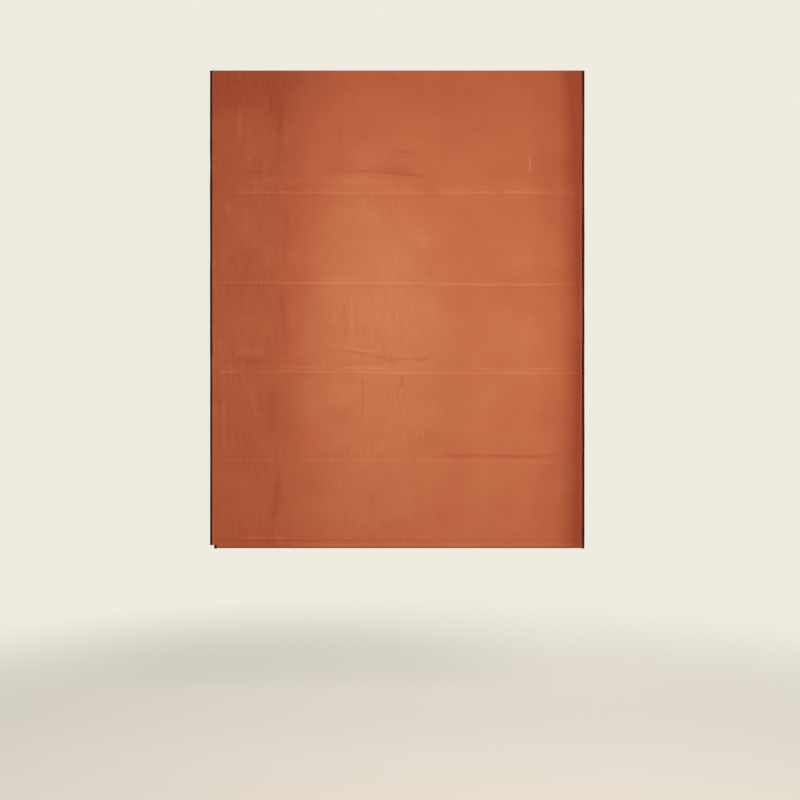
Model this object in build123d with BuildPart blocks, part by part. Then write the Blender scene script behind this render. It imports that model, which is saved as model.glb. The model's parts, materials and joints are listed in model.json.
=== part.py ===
from build123d import *
import os

os.makedirs("parts", exist_ok=True)

# Cordless roman blind, let down flat, in millimetres.
# +X runs to the right seen from the room, -Y runs from the wall into the room, +Z runs up.
# The origin is the middle of the four bracket screws, on the wall.

# Hanging blind
blind_width = 1000.0
blind_drop = 1275.0
rib_pitch = 237.5
rib_count = 4
velvet = 1.4
lining = 0.5
side_band = 6.0
band_bend = 0.8
top_rise = 2.5
lining_drop = 1.0
seat = 0.3
side_seat = 0.3

# Stitched details of the face cloth
tuck_height = 10.0
tuck_proud = 1.5
tuck_inset_left = 21.0
tuck_inset_right = 8.0
seam_width = 1.2
seam_depth = 0.5
top_round = 0.5
hem_round = 2.6
corner_left_width = 18.0
corner_left_height = 8.5
corner_right_width = 8.5
corner_right_height = 2.7
lining_lift = 3.0

# Bottom bar in the hem
bar_height = 17.6
bar_thickness = 5.0
bar_wall = 1.2
bar_corner = 1.6
cap_length = 7.0
cap_drop = 1.2
cap_corner = 1.2
cap_plug = 9.0
plug_seat = 0.3

# Ribs behind the lining
rod_diameter = 4.0
rod_end_inset = 12.0
pocket_wall = 0.6
pocket_tail = 9.0
pocket_tail_thickness = 1.0
tip_cover = 5.5
tip_floor = 1.5
clip_wall = 1.2
clip_width = 8.0
clip_opening = 150.0
eye_hole = 3.8
eye_outer = 10.0
eye_thickness = 3.0
eye_neck = 3.0

# Headrail and the tapes that carry the cloth
rail_depth = 32.0
rail_height = 34.0
rail_wall = 1.4
rail_lip = 5.0
rail_corner = 1.6
rail_inner_corner = 0.6
rail_rise = 16.0
rail_end_inset = 6.0
ledge_depth = 0.8
ledge_height = 1.2
tape_height = 20.0
hook_tape_thickness = 1.2
loop_tape_thickness = 1.0
tape_end_inset = 4.0
cap_flange = 2.5
plug_length = 10.0
plug_wall = 1.6
end_cap_edge = 0.7

# Wall brackets
bracket_plate = 1.5
bracket_width = 26.0
bracket_inset = 100.0
bracket_bend = 1.2
screw_hole = 4.8
screw_rise = 16.0
screw_room = 3.5
foot_rise = 2.0
hook_reach = 1.2
tongue_width = 10.0
tongue_window = 7.0

# Lift shaft, spools and their cradles
shaft_side = 6.0
shaft_fit = 0.15
shaft_overhang = 14.0
shaft_chamfer = 0.8
cord_inset = 150.0
spool_drum_start = 10.5
spool_drum_end = 9.6
spool_drum_length = 20.0
spool_flange = 12.5
spool_flange_thickness = 1.5
journal_radius = 5.0
running_fit = 0.1
spool_play = 0.4
journal_past = 0.5
cradle_cheek = 2.5
cradle_boss = 3.0
cradle_floor = 2.0
cradle_arm_width = 4.5
cradle_arm_thickness = 1.8
cord_exit_length = 20.0
cord_exit_width = 3.8
collar_radius = 7.0
collar_width = 7.0
collar_screw = 3.0
grub_recess = 0.5
grub_socket = 1.5
grub_socket_depth = 1.6

# Spring unit round the shaft
spring_centre = -175.0
spring_length = 150.0
spring_radius = 12.0
spring_bore = 5.0
cover_wall = 1.4
cover_skirt = 5.0
cover_floor = 2.5
cover_edge = 0.8
hub_radius = 8.0
hub_flange = 3.0
foot_width = 16.0

# Cord anchors on the bottom bar
anchor_width = 12.0
anchor_height = 12.0
anchor_depth = 3.0
anchor_corner = 2.0
peg_diameter = 4.0
peg_clearance = 0.4


# Layers from the wall outwards, as distances from the wall
rail_back = bracket_plate + screw_room
rail_front = rail_back + rail_depth
hook_tape_back = rail_front + seat
hook_tape_front = hook_tape_back + hook_tape_thickness
loop_tape_back = hook_tape_front + seat
loop_tape_front = loop_tape_back + loop_tape_thickness
lining_back = loop_tape_front + seat
lining_front = lining_back + lining
velvet_back = lining_front + seat
velvet_front = velvet_back + velvet
band_back = velvet_front + seat
band_front = band_back + lining
bar_front = velvet_back - seat
bar_back = bar_front - bar_thickness
hem_back = bar_back - seat - velvet

# Heights
rail_top = rail_rise
rail_bottom = rail_top - rail_height
rail_middle = (rail_top + rail_bottom) / 2
cloth_top = rail_top + top_rise
cloth_bottom = cloth_top - blind_drop
bar_bottom = cloth_bottom + velvet + seat
bar_top = bar_bottom + bar_height
hem_top = bar_top + seat + velvet
lining_bottom = hem_top + lining_lift
rib_heights = [cloth_bottom + rib_pitch * (rib_count - i) for i in range(rib_count)]

# Places along the width
half_width = blind_width / 2
velvet_half = half_width - lining - side_seat
rail_half = half_width - rail_end_inset
tape_half = rail_half - tape_end_inset
bracket_x = half_width - bracket_inset
cord_x = half_width - cord_inset
cord_places = {"left": -cord_x, "centre": 0.0, "right": cord_x}
cap_left_inner = -half_width + corner_left_width - side_seat
cap_right_inner = half_width - corner_right_width + side_seat
bar_left = cap_left_inner + seat
bar_right = cap_right_inner - seat
bar_middle = (bar_bottom + bar_top) / 2
bar_depth = (bar_back + bar_front) / 2

# Shaft axis, in the middle of the channel
rail_inside_depth = rail_depth - 2 * rail_wall
rail_inside_height = rail_height - 2 * rail_wall
shaft_depth = rail_back + rail_depth / 2
shaft_height = rail_middle + rail_wall / 2 - seat
rail_floor = rail_bottom + rail_wall + seat
lip_under = rail_top - rail_wall - seat
cheek_inner = spool_drum_length / 2 + spool_flange_thickness + spool_play
cheek_outer = cheek_inner + cradle_cheek
exit_depth = shaft_depth + spool_drum_end


def section_at(x):
    """Upright plane across the blind at x: its first axis runs out from the wall, its second runs up."""
    return Plane(origin=(x, 0, 0), x_dir=(0, -1, 0), z_dir=(-1, 0, 0))


def shaft_plane(x):
    """Upright plane through the shaft: its first axis runs along the shaft from x, its second runs up."""
    return Plane(origin=(x, -shaft_depth, shaft_height), x_dir=(1, 0, 0), z_dir=(0, -1, 0))


def shaft_axis():
    """The line that the shaft turns on."""
    return Axis((0, -shaft_depth, shaft_height), (1, 0, 0))


# Headrail: an open-topped channel with turned-in lips, two ledges beside the tape and a cord exit per spool
with BuildPart() as headrail:
    with BuildSketch(section_at(0)):
        with Locations((shaft_depth, rail_middle)):
            RectangleRounded(rail_depth, rail_height, rail_corner)
            RectangleRounded(rail_inside_depth, rail_inside_height, rail_inner_corner, mode=Mode.SUBTRACT)
        with Locations((shaft_depth, rail_top)):
            Rectangle(rail_depth - 2 * rail_lip, 4 * rail_wall, mode=Mode.SUBTRACT)
        ledge_offset = tape_height / 2 + seat + ledge_height / 2
        with Locations((rail_front, rail_middle - ledge_offset), (rail_front, rail_middle + ledge_offset)):
            Rectangle(2 * ledge_depth, ledge_height)
    extrude(amount=rail_half, both=True)
    with BuildSketch(Plane.XY.offset(rail_bottom)):
        with Locations(*[(x, -exit_depth) for x in cord_places.values()]):
            SlotOverall(cord_exit_length, cord_exit_width)
    extrude(amount=2 * rail_wall, both=True, mode=Mode.SUBTRACT)
headrail.part.label = "headrail"
export_step(headrail.part, "parts/headrail.step")


# End caps: a rounded flange outside the channel and a hollow plug inside it
for side, name in ((-1, "end_cap_left"), (1, "end_cap_right")):
    flange_x = side * (rail_half + seat)
    with BuildPart() as end_cap:
        with BuildSketch(section_at(flange_x)):
            with Locations((shaft_depth, rail_middle)):
                RectangleRounded(rail_depth, rail_height, rail_corner)
        extrude(amount=-side * cap_flange)
        outer_face = end_cap.faces().sort_by(Axis.X)[0 if side < 0 else -1]
        chamfer(outer_face.edges(), length=end_cap_edge)
        with BuildSketch(section_at(flange_x)):
            with Locations((shaft_depth, rail_middle)):
                Rectangle(rail_inside_depth - 2 * seat, rail_inside_height - 2 * seat)
                Rectangle(
                    rail_inside_depth - 2 * seat - 2 * plug_wall,
                    rail_inside_height - 2 * seat - 2 * plug_wall,
                    mode=Mode.SUBTRACT,
                )
        extrude(amount=side * plug_length)
    end_cap.part.label = name
    export_step(end_cap.part, f"parts/{name}.step")


# Wall brackets: one bent strip that hooks over both lips, with a foot behind the channel and two screw holes
plate_middle = bracket_plate / 2
arm_height = rail_top + seat + bracket_plate / 2
under_height = rail_top - rail_wall - seat - bracket_plate / 2
foot_height = rail_bottom + foot_rise + bracket_plate / 2
hook_depth = rail_front - rail_lip - seat - bracket_plate / 2
tongue_depth = rail_back + rail_lip + seat + bracket_plate / 2
for x, name in ((-bracket_x, "wall_bracket_left"), (bracket_x, "wall_bracket_right")):
    with BuildPart() as wall_bracket:
        with BuildSketch(section_at(x)):
            with BuildLine():
                FilletPolyline(
                    (rail_back - seat, foot_height),
                    (plate_middle, foot_height),
                    (plate_middle, arm_height),
                    (hook_depth, arm_height),
                    (hook_depth, under_height),
                    (rail_front - rail_wall - hook_reach, under_height),
                    radius=bracket_bend,
                )
            trace(line_width=bracket_plate)
        extrude(amount=bracket_width / 2, both=True)
        with BuildSketch(Plane.XY.offset(arm_height)):
            with Locations((x, -tongue_depth - bracket_plate / 2 - tongue_window / 2)):
                Rectangle(tongue_width, tongue_window)
        extrude(amount=bracket_plate, both=True, mode=Mode.SUBTRACT)
        with BuildSketch(section_at(x)):
            with BuildLine():
                FilletPolyline(
                    (tongue_depth, arm_height),
                    (tongue_depth, under_height),
                    (rail_back + rail_wall + hook_reach, under_height),
                    radius=bracket_bend,
                )
            trace(line_width=bracket_plate)
        extrude(amount=tongue_width / 2, both=True)
        with BuildSketch(Plane.XZ):
            with Locations((x, -screw_rise / 2), (x, screw_rise / 2)):
                Circle(screw_hole / 2)
        extrude(amount=2 * bracket_plate, both=True, mode=Mode.SUBTRACT)
    wall_bracket.part.label = name
    export_step(wall_bracket.part, f"parts/{name}.step")


# Tapes: the hook half on the channel, the loop half on the cloth
with BuildPart() as hook_tape:
    with BuildSketch(section_at(0)):
        with Locations(((hook_tape_back + hook_tape_front) / 2, rail_middle)):
            Rectangle(hook_tape_thickness, tape_height)
    extrude(amount=tape_half, both=True)
hook_tape.part.label = "hook_tape"
export_step(hook_tape.part, "parts/hook_tape.step")

with BuildPart() as loop_tape:
    with BuildSketch(section_at(0)):
        with Locations(((loop_tape_back + loop_tape_front) / 2, rail_middle)):
            Rectangle(loop_tape_thickness, tape_height)
    extrude(amount=tape_half, both=True)
loop_tape.part.label = "loop_tape"
export_step(loop_tape.part, "parts/loop_tape.step")


# Spool cradles: a floor with the cord exit, two cheeks with a bearing each, and four arms under the lips
for place, x in cord_places.items():
    with BuildPart() as spool_cradle:
        with BuildSketch(Plane.XY.offset(rail_floor)):
            with Locations((x, -shaft_depth)):
                Rectangle(2 * (cheek_inner + cradle_arm_width), rail_inside_depth - 2 * seat)
            with Locations((x, -exit_depth)):
                SlotOverall(cord_exit_length, cord_exit_width, mode=Mode.SUBTRACT)
        extrude(amount=cradle_floor)
        for side in (-1, 1):
            with BuildSketch(section_at(x + side * (cheek_inner + cradle_cheek / 2))):
                with Locations((shaft_depth, shaft_height)):
                    Circle(journal_radius + cradle_boss)
                with Locations((shaft_depth, rail_floor + cradle_floor)):
                    Rectangle(rail_inside_depth - 2 * seat, cradle_floor)
                make_hull()
                with Locations((shaft_depth, shaft_height)):
                    Circle(journal_radius + running_fit, mode=Mode.SUBTRACT)
            extrude(amount=cradle_cheek / 2, both=True)
            with BuildSketch(section_at(x + side * (cheek_inner + cradle_arm_width / 2))):
                for face in (-1, 1):
                    arm_offset = rail_inside_depth / 2 - seat - cradle_arm_thickness / 2
                    with Locations((shaft_depth + face * arm_offset, (rail_floor + lip_under) / 2)):
                        Rectangle(cradle_arm_thickness, lip_under - rail_floor)
            extrude(amount=cradle_arm_width / 2, both=True)
    spool_cradle.part.label = f"spool_cradle_{place}"
    export_step(spool_cradle.part, f"parts/spool_cradle_{place}.step")


# Cord spools: a tapered drum between two flanges, on journals that turn in the cradle
flange_outer = spool_drum_length / 2 + spool_flange_thickness
journal_end = cheek_outer + journal_past
for place, x in cord_places.items():
    with BuildPart() as cord_spool:
        with BuildSketch(shaft_plane(x)):
            with BuildLine():
                Polyline(
                    (-journal_end, 0),
                    (-journal_end, journal_radius),
                    (-flange_outer, journal_radius),
                    (-flange_outer, spool_flange),
                    (-spool_drum_length / 2, spool_flange),
                    (-spool_drum_length / 2, spool_drum_start),
                    (spool_drum_length / 2, spool_drum_end),
                    (spool_drum_length / 2, spool_flange),
                    (flange_outer, spool_flange),
                    (flange_outer, journal_radius),
                    (journal_end, journal_radius),
                    (journal_end, 0),
                    close=True,
                )
            make_face()
        revolve(axis=shaft_axis())
        with BuildSketch(section_at(x)):
            with Locations((shaft_depth, shaft_height)):
                Rectangle(shaft_side + 2 * shaft_fit, shaft_side + 2 * shaft_fit)
        extrude(amount=2 * journal_end, both=True, mode=Mode.SUBTRACT)
    cord_spool.part.label = f"cord_spool_{place}"
    export_step(cord_spool.part, f"parts/cord_spool_{place}.step")


# Lift shaft: a square bar through all three spools
collar_inner = cord_x + journal_end + seat
shaft_half = collar_inner + shaft_overhang
with BuildPart() as lift_shaft:
    with BuildSketch(section_at(0)):
        with Locations((shaft_depth, shaft_height)):
            Rectangle(shaft_side, shaft_side)
    extrude(amount=shaft_half, both=True)
    chamfer(lift_shaft.faces().filter_by(Axis.X).edges(), length=shaft_chamfer)
lift_shaft.part.label = "lift_shaft"
export_step(lift_shaft.part, "parts/lift_shaft.step")


# Set collars: one beyond each outer spool, with a hole for its grub screw
collar_x = collar_inner + collar_width / 2
with BuildPart() as set_collars:
    for x in (-collar_x, collar_x):
        with BuildSketch(section_at(x)):
            with Locations((shaft_depth, shaft_height)):
                Circle(collar_radius)
                Rectangle(shaft_side + 2 * shaft_fit, shaft_side + 2 * shaft_fit, mode=Mode.SUBTRACT)
        extrude(amount=collar_width / 2, both=True)
        with BuildSketch(Plane.XY.offset(shaft_height)):
            with Locations((x, -shaft_depth)):
                Circle(collar_screw / 2)
        extrude(amount=2 * collar_radius, mode=Mode.SUBTRACT)
set_collars.part.label = "set_collars"
export_step(set_collars.part, "parts/set_collars.step")


# Grub screws: one in each set collar, driven down onto the shaft, with a hexagon socket
grub_bottom = shaft_height + shaft_side / 2 + running_fit
grub_top = shaft_height + collar_radius - grub_recess
with BuildPart() as grub_screws:
    with BuildSketch(Plane.XY.offset(grub_bottom)):
        with Locations((-collar_x, -shaft_depth), (collar_x, -shaft_depth)):
            Circle(collar_screw / 2 - running_fit)
    extrude(amount=grub_top - grub_bottom)
    with BuildSketch(Plane.XY.offset(grub_top)):
        with Locations((-collar_x, -shaft_depth), (collar_x, -shaft_depth)):
            RegularPolygon(grub_socket / 2, 6, major_radius=False)
    extrude(amount=-grub_socket_depth, mode=Mode.SUBTRACT)
grub_screws.part.label = "grub_screws"
export_step(grub_screws.part, "parts/grub_screws.step")


# Spring unit: a sealed case round the shaft, on a foot
spring_half = spring_length / 2
with BuildPart() as spring_case:
    with BuildSketch(section_at(spring_centre)):
        with Locations((shaft_depth, shaft_height)):
            Circle(spring_radius)
        with Locations((shaft_depth, (rail_floor + shaft_height) / 2)):
            Rectangle(foot_width, shaft_height - rail_floor)
        with Locations((shaft_depth, shaft_height)):
            Circle(spring_bore, mode=Mode.SUBTRACT)
    extrude(amount=spring_half - cover_skirt, both=True)
    with BuildSketch(section_at(spring_centre)):
        with Locations((shaft_depth, shaft_height)):
            Circle(spring_radius)
            Circle(spring_bore, mode=Mode.SUBTRACT)
    extrude(amount=spring_half, both=True)
spring_case.part.label = "spring_case"
export_step(spring_case.part, "parts/spring_case.step")


# Spring covers: a cup over each end of the case, with a bearing in its floor
for side, name in ((-1, "spring_cover_left"), (1, "spring_cover_right")):
    cover_start = spring_centre + side * (spring_half - cover_skirt + seat)
    cover_depth = cover_skirt + cover_floor
    with BuildPart() as spring_cover:
        with BuildSketch(section_at(cover_start)):
            with Locations((shaft_depth, shaft_height)):
                Circle(spring_radius + seat + cover_wall)
        extrude(amount=-side * cover_depth)
        outer_face = spring_cover.faces().sort_by(Axis.X)[0 if side < 0 else -1]
        fillet(outer_face.edges(), radius=cover_edge)
        with BuildSketch(section_at(cover_start)):
            with Locations((shaft_depth, shaft_height)):
                Circle(spring_radius + seat)
        extrude(amount=-side * cover_skirt, mode=Mode.SUBTRACT)
        with BuildSketch(section_at(cover_start)):
            with Locations((shaft_depth, shaft_height)):
                Circle(journal_radius + running_fit)
        extrude(amount=-side * cover_depth, mode=Mode.SUBTRACT)
    spring_cover.part.label = name
    export_step(spring_cover.part, f"parts/{name}.step")


# Spring hubs: one at each end, gripping the shaft and turning in the cover
hub_start = spring_half + seat
hub_end = spring_half + cover_floor + 2 * seat
with BuildPart() as spring_hubs:
    for side in (-1, 1):
        with BuildSketch(shaft_plane(spring_centre)):
            with BuildLine():
                Polyline(
                    (side * hub_start, 0),
                    (side * hub_start, journal_radius),
                    (side * hub_end, journal_radius),
                    (side * hub_end, hub_radius),
                    (side * (hub_end + hub_flange), hub_radius),
                    (side * (hub_end + hub_flange), 0),
                    close=True,
                )
            make_face()
        revolve(axis=shaft_axis())
    with BuildSketch(section_at(spring_centre)):
        with Locations((shaft_depth, shaft_height)):
            Rectangle(shaft_side + 2 * shaft_fit, shaft_side + 2 * shaft_fit)
    extrude(amount=2 * hub_end, both=True, mode=Mode.SUBTRACT)
spring_hubs.part.label = "spring_hubs"
export_step(spring_hubs.part, "parts/spring_hubs.step")


# Lining: a back sheet whose sides turn round onto the face as narrow dark bands
lining_middle = (lining_back + lining_front) / 2
band_middle = (band_back + band_front) / 2
fold_x = half_width - lining / 2
band_x = half_width - side_band
band_bottoms = {-1: cloth_bottom + corner_left_height, 1: cloth_bottom + corner_right_height}
with BuildPart() as lining_cloth:
    with BuildSketch(Plane.XY.offset(lining_bottom)):
        with BuildLine():
            FilletPolyline(
                (-band_x, -band_middle),
                (-fold_x, -band_middle),
                (-fold_x, -lining_middle),
                (fold_x, -lining_middle),
                (fold_x, -band_middle),
                (band_x, -band_middle),
                radius=band_bend,
            )
        trace(line_width=lining)
    extrude(amount=cloth_top - lining_drop - lining_bottom)
    for side in (-1, 1):
        with BuildSketch(Plane.XY.offset(band_bottoms[side])):
            with BuildLine():
                FilletPolyline(
                    (side * band_x, -band_middle),
                    (side * fold_x, -band_middle),
                    (side * fold_x, -lining_front),
                    radius=band_bend,
                )
            trace(line_width=lining)
        extrude(amount=lining_bottom - band_bottoms[side])
lining_cloth.part.label = "lining_cloth"
export_step(lining_cloth.part, "parts/lining_cloth.step")


# Face cloth: one sheet with a folded hem tube round the bar and a stitched tuck over each rib
velvet_middle = (velvet_back + velvet_front) / 2
with BuildPart() as face_cloth:
    with BuildSketch(section_at(0)):
        with Locations((velvet_middle, (cloth_top + hem_top) / 2)):
            Rectangle(velvet, cloth_top - hem_top)
        with Locations(((hem_back + velvet_front) / 2, (cloth_bottom + hem_top) / 2)):
            RectangleRounded(velvet_front - hem_back, hem_top - cloth_bottom, hem_round)
        with Locations((velvet_middle, (cloth_bottom + 2 * hem_top) / 3)):
            Rectangle(velvet, (hem_top - cloth_bottom) * 2 / 3)
        with Locations((bar_depth, bar_middle)):
            RectangleRounded(
                bar_thickness + 2 * seat, bar_height + 2 * seat, bar_corner, mode=Mode.SUBTRACT
            )
    extrude(amount=velvet_half, both=True)
    top_face = face_cloth.faces().sort_by(Axis.Z)[-1]
    fillet(top_face.edges().filter_by(Axis.X), radius=top_round)
    tuck_left = -half_width + tuck_inset_left
    tuck_right = half_width - tuck_inset_right
    for height in rib_heights:
        with BuildSketch(section_at((tuck_left + tuck_right) / 2)):
            with BuildLine():
                ThreePointArc(
                    (velvet_front, height - tuck_height / 2),
                    (velvet_front + tuck_proud, height),
                    (velvet_front, height + tuck_height / 2),
                )
                Polyline(
                    (velvet_front, height + tuck_height / 2),
                    (velvet_middle, height + tuck_height / 2),
                    (velvet_middle, height - tuck_height / 2),
                    (velvet_front, height - tuck_height / 2),
                )
            make_face()
        extrude(amount=(tuck_right - tuck_left) / 2, both=True)
    with BuildSketch(section_at(0)):
        with Locations((velvet_front, hem_top)):
            Rectangle(2 * seam_depth, seam_width)
    extrude(amount=half_width, both=True, mode=Mode.SUBTRACT)
    with BuildSketch(Plane.XZ):
        with Locations((-half_width, cloth_bottom)):
            Rectangle(2 * corner_left_width, 2 * corner_left_height)
        with Locations((half_width, cloth_bottom)):
            Rectangle(2 * corner_right_width, 2 * corner_right_height)
    extrude(amount=2 * band_front, mode=Mode.SUBTRACT)
    with BuildSketch(Plane.XZ):
        with Locations(*[(x, bar_middle) for x in cord_places.values()]):
            Circle(peg_diameter / 2 + peg_clearance)
    extrude(amount=bar_back, mode=Mode.SUBTRACT)
face_cloth.part.label = "face_cloth"
export_step(face_cloth.part, "parts/face_cloth.step")


# Ribs: a sewn pocket, its rod, a tip on each end and three clip-on cord eyes
pocket_radius = rod_diameter / 2 + seat + pocket_wall
rod_depth = lining_back - seat - pocket_radius
rod_half = half_width - rod_end_inset
pocket_half = rod_half - tip_cover - seat
clip_inner = pocket_radius + seat
clip_outer = clip_inner + clip_wall
eye_depth = rod_depth - clip_outer - eye_neck - eye_outer / 2
neck_end = rod_depth - clip_inner - clip_wall / 2
for number, height in enumerate(rib_heights, start=1):
    with BuildPart() as rib_pocket:
        with BuildSketch(section_at(0)):
            with Locations((rod_depth, height)):
                Circle(pocket_radius)
            tail_depth = lining_back - seat - pocket_tail_thickness / 2
            with Locations((tail_depth, height + pocket_tail / 2)):
                Rectangle(pocket_tail_thickness, pocket_tail)
            with Locations((rod_depth, height)):
                Circle(rod_diameter / 2 + seat, mode=Mode.SUBTRACT)
        extrude(amount=pocket_half, both=True)
    rib_pocket.part.label = f"rib_pocket_{number}"
    export_step(rib_pocket.part, f"parts/rib_pocket_{number}.step")

    with BuildPart() as rib_rod:
        with BuildSketch(section_at(0)):
            with Locations((rod_depth, height)):
                Circle(rod_diameter / 2)
        extrude(amount=rod_half, both=True)
    rib_rod.part.label = f"rib_rod_{number}"
    export_step(rib_rod.part, f"parts/rib_rod_{number}.step")

    with BuildPart() as rib_tips:
        for side in (-1, 1):
            with BuildSketch(section_at(side * (rod_half - tip_cover))):
                with Locations((rod_depth, height)):
                    Circle(pocket_radius)
            extrude(amount=-side * (tip_cover + seat + tip_floor))
            with BuildSketch(section_at(side * (rod_half - tip_cover))):
                with Locations((rod_depth, height)):
                    Circle(rod_diameter / 2 + seat)
            extrude(amount=-side * (tip_cover + seat), mode=Mode.SUBTRACT)
        outer_edges = rib_tips.edges().filter_by(GeomType.CIRCLE).group_by(Axis.X)
        fillet(outer_edges[0] + outer_edges[-1], radius=pocket_wall / 2)
    rib_tips.part.label = f"rib_tips_{number}"
    export_step(rib_tips.part, f"parts/rib_tips_{number}.step")

    with BuildPart() as rib_eyes:
        for x in cord_places.values():
            with BuildSketch(section_at(x)):
                with BuildLine():
                    CenterArc(
                        (rod_depth, height),
                        (clip_inner + clip_outer) / 2,
                        clip_opening / 2,
                        360 - clip_opening,
                    )
                trace(line_width=clip_wall)
            extrude(amount=clip_width / 2, both=True)
            with BuildSketch(Plane.XY.offset(height)):
                with Locations((x, -eye_depth)):
                    Circle(eye_outer / 2)
                with Locations((x, -(eye_depth + neck_end) / 2)):
                    Rectangle(clip_width, neck_end - eye_depth)
                make_hull()
                with Locations((x, -eye_depth)):
                    Circle(eye_hole / 2, mode=Mode.SUBTRACT)
            extrude(amount=eye_thickness / 2, both=True)
    rib_eyes.part.label = f"rib_eyes_{number}"
    export_step(rib_eyes.part, f"parts/rib_eyes_{number}.step")


# Bottom bar: a flat hollow extrusion with a peg hole in its back wall for each anchor
with BuildPart() as bottom_bar:
    with BuildSketch(section_at((bar_left + bar_right) / 2)):
        with Locations((bar_depth, bar_middle)):
            RectangleRounded(bar_thickness, bar_height, bar_corner)
            Rectangle(bar_thickness - 2 * bar_wall, bar_height - 2 * bar_wall, mode=Mode.SUBTRACT)
    extrude(amount=(bar_right - bar_left) / 2, both=True)
    with BuildSketch(Plane.XZ.offset(bar_back)):
        with Locations(*[(x, bar_middle) for x in cord_places.values()]):
            Circle(peg_diameter / 2 + seat)
    extrude(amount=bar_wall, mode=Mode.SUBTRACT)
bottom_bar.part.label = "bottom_bar"
export_step(bottom_bar.part, "parts/bottom_bar.step")


# Bar caps: a head that fills the open corner of the hem, and a plug inside the bar
head_bottom = cloth_bottom - cap_drop
for side, inner_x, name in ((-1, cap_left_inner, "bar_cap_left"), (1, cap_right_inner, "bar_cap_right")):
    with BuildPart() as bar_cap:
        with BuildSketch(section_at(inner_x)):
            with Locations((bar_depth, (head_bottom + bar_top) / 2)):
                RectangleRounded(bar_thickness, bar_top - head_bottom, bar_corner)
        extrude(amount=-side * cap_length)
        outer_face = bar_cap.faces().sort_by(Axis.X)[0 if side < 0 else -1]
        fillet(outer_face.edges(), radius=cap_corner)
        with BuildSketch(section_at(inner_x)):
            with Locations((bar_depth, bar_middle)):
                Rectangle(
                    bar_thickness - 2 * bar_wall - 2 * plug_seat,
                    bar_height - 2 * bar_wall - 2 * plug_seat,
                )
        extrude(amount=side * cap_plug)
    bar_cap.part.label = name
    export_step(bar_cap.part, f"parts/{name}.step")


# Cord anchors: a plate behind the hem, an eye in line with those of the ribs, and a peg through to the bar
anchor_front = hem_back - seat
anchor_back = anchor_front - anchor_depth
with BuildPart() as cord_anchors:
    for x in cord_places.values():
        with BuildSketch(Plane.XZ.offset(anchor_back)):
            with Locations((x, bar_middle)):
                RectangleRounded(anchor_width, anchor_height, anchor_corner)
        extrude(amount=anchor_depth)
        with BuildSketch(Plane.XZ.offset(anchor_front)):
            with Locations((x, bar_middle)):
                Circle(peg_diameter / 2)
        extrude(amount=bar_back + 2 * bar_wall - anchor_front)
        with BuildSketch(Plane.XY.offset(bar_middle)):
            with Locations((x, -eye_depth)):
                Circle(eye_outer / 2)
            with Locations((x, -(eye_depth + anchor_back) / 2)):
                Rectangle(clip_width, anchor_back - eye_depth)
            make_hull()
            with Locations((x, -eye_depth)):
                Circle(eye_hole / 2, mode=Mode.SUBTRACT)
        extrude(amount=eye_thickness / 2, both=True)
cord_anchors.part.label = "cord_anchors"
export_step(cord_anchors.part, "parts/cord_anchors.step")
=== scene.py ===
# %% [markdown]
# # A roman blind in terracotta velvet
# A roman blind is one flat cloth that hangs from a headrail and folds up in pleats as its bottom bar rises.
# The rail, shaft, spools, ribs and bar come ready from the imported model. It stands in metres, with the wall
# at y = 0, the room towards -Y, and the middle of the bracket screws at the origin. What is made here is
# all that is cloth or thread, and the finish of every part.

import json
import math

import bpy
import numpy as np
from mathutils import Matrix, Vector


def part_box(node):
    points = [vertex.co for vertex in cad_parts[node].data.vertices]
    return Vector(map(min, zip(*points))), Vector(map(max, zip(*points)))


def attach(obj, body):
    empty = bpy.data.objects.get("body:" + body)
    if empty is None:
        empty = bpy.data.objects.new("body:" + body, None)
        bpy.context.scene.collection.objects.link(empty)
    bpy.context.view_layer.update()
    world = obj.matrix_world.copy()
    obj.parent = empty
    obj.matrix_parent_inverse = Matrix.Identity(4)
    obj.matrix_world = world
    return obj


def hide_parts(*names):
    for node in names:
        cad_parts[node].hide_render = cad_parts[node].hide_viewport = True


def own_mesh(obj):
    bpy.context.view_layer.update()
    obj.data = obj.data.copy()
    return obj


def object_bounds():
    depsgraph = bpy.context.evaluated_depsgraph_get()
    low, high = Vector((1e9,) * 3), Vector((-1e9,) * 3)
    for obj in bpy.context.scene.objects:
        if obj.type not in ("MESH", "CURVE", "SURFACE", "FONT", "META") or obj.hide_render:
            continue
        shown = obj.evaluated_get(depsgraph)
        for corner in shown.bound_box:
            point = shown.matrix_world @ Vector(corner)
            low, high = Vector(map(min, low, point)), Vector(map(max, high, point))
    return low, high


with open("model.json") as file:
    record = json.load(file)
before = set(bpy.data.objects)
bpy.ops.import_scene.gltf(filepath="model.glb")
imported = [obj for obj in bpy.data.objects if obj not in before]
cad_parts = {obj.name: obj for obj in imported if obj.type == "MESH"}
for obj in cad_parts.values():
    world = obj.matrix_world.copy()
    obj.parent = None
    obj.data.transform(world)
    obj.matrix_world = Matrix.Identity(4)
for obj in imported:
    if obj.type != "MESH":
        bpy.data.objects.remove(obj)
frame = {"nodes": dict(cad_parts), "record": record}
cad_box = [[float(value) for value in corner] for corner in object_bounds()]
print("packed model, lowest and highest corner in metres:", cad_box)

# %% [markdown]
# ## Places
# Cloth is easiest to think of in millimetres: across, out from the wall, and up. Each place is read from
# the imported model's own boxes, so a piece of cloth always lies on the part that carries it. The
# alternative, typing the places again, goes wrong as soon as a part moves.

# %% Read the places that the cloth hangs from
mm = 0.001


def reach(node):
    """A part's box in millimetres, as three (low, high) pairs: across, out from the wall, and up."""
    low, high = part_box(node)
    return (low.x / mm, high.x / mm), (-high.y / mm, -low.y / mm), (low.z / mm, high.z / mm)


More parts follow.
